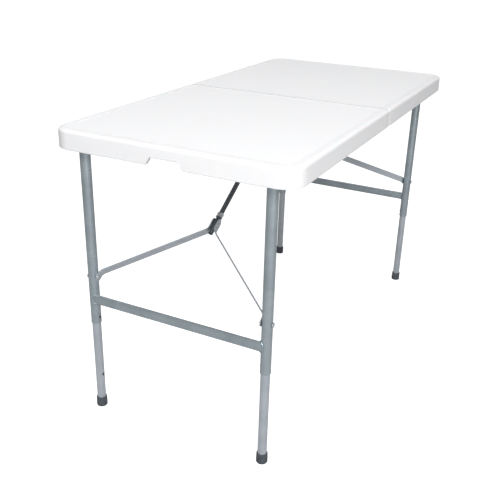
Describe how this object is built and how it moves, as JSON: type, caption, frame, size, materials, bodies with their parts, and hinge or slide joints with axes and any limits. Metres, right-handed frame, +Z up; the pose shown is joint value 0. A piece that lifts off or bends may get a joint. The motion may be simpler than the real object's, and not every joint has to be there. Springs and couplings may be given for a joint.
{
  "type": "folding picnic table",
  "caption": "Portable table with a moulded top in two halves that folds about its middle, on folding steel leg frames with telescopic lower legs and folding braces.",
  "frame": {"origin": "on the floor, under the middle of the top", "axes": "+X along the table's length towards end B, +Y across it, +Z up out of the tabletop"},
  "size_m": [1.2, 0.6, 0.74],
  "materials": {
    "top": "white blow-moulded polyethylene, fine pebble grain on top inside a smooth border",
    "leg_paint": "light bluish grey powder coat, slightly metallic, semi-gloss",
    "link_paint": "dark grey powder coat on the brace link",
    "zinc": "bright zinc plate with a faint spangle",
    "dark_steel": "black-grey coated hinge steel",
    "foot": "dark slate moulded foot cap, matte",
    "clip": "off-white moulded clip"
  },
  "bodies": {
    "half_a": {"top_half_a": "top", "leg_bracket_a_left": "zinc", "leg_bracket_a_right": "zinc", "leg_clip_a_left": "clip", "leg_clip_a_right": "clip", "link_bracket_a": "zinc", "link_pin_a": "zinc", "hinge_leaf_a_left": "dark_steel", "hinge_leaf_a_right": "dark_steel", "hinge_pin_left": "dark_steel", "hinge_pin_right": "dark_steel"},
    "half_b": {"top_half_b": "top", "leg_bracket_b_left": "zinc", "leg_bracket_b_right": "zinc", "leg_clip_b_left": "clip", "leg_clip_b_right": "clip", "link_bracket_b": "zinc", "link_pin_b": "zinc", "hinge_leaf_b_left": "dark_steel", "hinge_leaf_b_right": "dark_steel"},
    "leg_frame_a": {"pivot_tube_a": "leg_paint", "crossbar_a": "leg_paint", "upper_leg_a_left": "leg_paint", "upper_leg_a_right": "leg_paint", "leg_rivet_a_left": "zinc", "leg_rivet_a_right": "zinc"},
    "brace_link_a": {"brace_link_a": "link_paint"},
    "brace_arms_a": {"brace_arm_a_left": "leg_paint", "brace_arm_a_right": "leg_paint", "arm_rivet_a_left": "zinc", "arm_rivet_a_right": "zinc", "knee_rivet_a": "zinc"},
    "lock_ring_a": {"lock_ring_a": "zinc"},
    "lower_leg_a_left": {"lower_leg_a_left": "leg_paint", "foot_cap_a_left": "foot"},
    "snap_button_a_left": {"snap_button_a_left": "zinc"},
    "lower_leg_a_right": {"lower_leg_a_right": "leg_paint", "foot_cap_a_right": "foot"},
    "snap_button_a_right": {"snap_button_a_right": "zinc"},
    "leg_frame_b": {"pivot_tube_b": "leg_paint", "crossbar_b": "leg_paint", "upper_leg_b_left": "leg_paint", "upper_leg_b_right": "leg_paint", "leg_rivet_b_left": "zinc", "leg_rivet_b_right": "zinc"},
    "brace_link_b": {"brace_link_b": "link_paint"},
    "brace_arms_b": {"brace_arm_b_left": "leg_paint", "brace_arm_b_right": "leg_paint", "arm_rivet_b_left": "zinc", "arm_rivet_b_right": "zinc", "knee_rivet_b": "zinc"},
    "lock_ring_b": {"lock_ring_b": "zinc"},
    "lower_leg_b_left": {"lower_leg_b_left": "leg_paint", "foot_cap_b_left": "foot"},
    "snap_button_b_left": {"snap_button_b_left": "zinc"},
    "lower_leg_b_right": {"lower_leg_b_right": "leg_paint", "foot_cap_b_right": "foot"},
    "snap_button_b_right": {"snap_button_b_right": "zinc"}
  },
  "joints": [
    {"name": "centre_fold", "type": "hinge", "parent": "half_a", "child": "half_b", "pos_m": [0, 0, 0.6947], "axis": [0, 1, 0], "range_deg": [0, 70]},
    {"name": "leg_fold_a", "type": "hinge", "parent": "half_a", "child": "leg_frame_a", "pos_m": [-0.562, 0, 0.709], "axis": [0, -1, 0], "range_deg": [0, 90]},
    {"name": "link_fold_a", "type": "hinge", "parent": "half_a", "child": "brace_link_a", "pos_m": [-0.0355, 0, 0.714], "axis": [0, 1, 0], "range_deg": [0, 32.85]},
    {"name": "arms_fold_a", "type": "hinge", "parent": "brace_link_a", "child": "brace_arms_a", "pos_m": [-0.37916, 0, 0.49207], "axis": [0, -1, 0], "range_deg": [0, 178.68]},
    {"name": "ring_slide_a", "type": "slide", "parent": "brace_link_a", "child": "lock_ring_a", "axis": [0.8401, 0, 0.5425], "range_m": [0, 0.06]},
    {"name": "leg_slide_a_left", "type": "slide", "parent": "leg_frame_a", "child": "lower_leg_a_left", "axis": [0, 0, 1], "range_m": [0, 0.168]},
    {"name": "button_press_a_left", "type": "slide", "parent": "leg_frame_a", "child": "snap_button_a_left", "axis": [0, 1, 0], "range_m": [0, 0.003], "stiffness_N_per_m": 1200},
    {"name": "leg_slide_a_right", "type": "slide", "parent": "leg_frame_a", "child": "lower_leg_a_right", "axis": [0, 0, 1], "range_m": [0, 0.168]},
    {"name": "button_press_a_right", "type": "slide", "parent": "leg_frame_a", "child": "snap_button_a_right", "axis": [0, -1, 0], "range_m": [0, 0.003], "stiffness_N_per_m": 1200},
    {"name": "leg_fold_b", "type": "hinge", "parent": "half_b", "child": "leg_frame_b", "pos_m": [0.562, 0, 0.709], "axis": [0, 1, 0], "range_deg": [0, 90]},
    {"name": "link_fold_b", "type": "hinge", "parent": "half_b", "child": "brace_link_b", "pos_m": [0.0355, 0, 0.714], "axis": [0, -1, 0], "range_deg": [0, 32.85]},
    {"name": "arms_fold_b", "type": "hinge", "parent": "brace_link_b", "child": "brace_arms_b", "pos_m": [0.37916, 0, 0.49207], "axis": [0, 1, 0], "range_deg": [0, 178.68]},
    {"name": "ring_slide_b", "type": "slide", "parent": "brace_link_b", "child": "lock_ring_b", "axis": [-0.8401, 0, 0.5425], "range_m": [0, 0.06]},
    {"name": "leg_slide_b_left", "type": "slide", "parent": "leg_frame_b", "child": "lower_leg_b_left", "axis": [0, 0, 1], "range_m": [0, 0.168]},
    {"name": "button_press_b_left", "type": "slide", "parent": "leg_frame_b", "child": "snap_button_b_left", "axis": [0, -1, 0], "range_m": [0, 0.003], "stiffness_N_per_m": 1200},
    {"name": "leg_slide_b_right", "type": "slide", "parent": "leg_frame_b", "child": "lower_leg_b_right", "axis": [0, 0, 1], "range_m": [0, 0.168]},
    {"name": "button_press_b_right", "type": "slide", "parent": "leg_frame_b", "child": "snap_button_b_right", "axis": [0, 1, 0], "range_m": [0, 0.003], "stiffness_N_per_m": 1200}
  ],
  "couplings": [
    {"joint": "link_fold_a", "follows": "leg_fold_a", "ratio": 0.36504},
    {"joint": "arms_fold_a", "follows": "leg_fold_a", "ratio": 1.9854},
    {"joint": "leg_slide_a_left", "follows": "leg_fold_a", "m_per_rad": 0.10695},
    {"joint": "leg_slide_a_right", "follows": "leg_fold_a", "m_per_rad": 0.10695},
    {"joint": "link_fold_b", "follows": "leg_fold_b", "ratio": 0.36504},
    {"joint": "arms_fold_b", "follows": "leg_fold_b", "ratio": 1.9854},
    {"joint": "leg_slide_b_left", "follows": "leg_fold_b", "m_per_rad": 0.10695},
    {"joint": "leg_slide_b_right", "follows": "leg_fold_b", "m_per_rad": 0.10695}
  ]
}
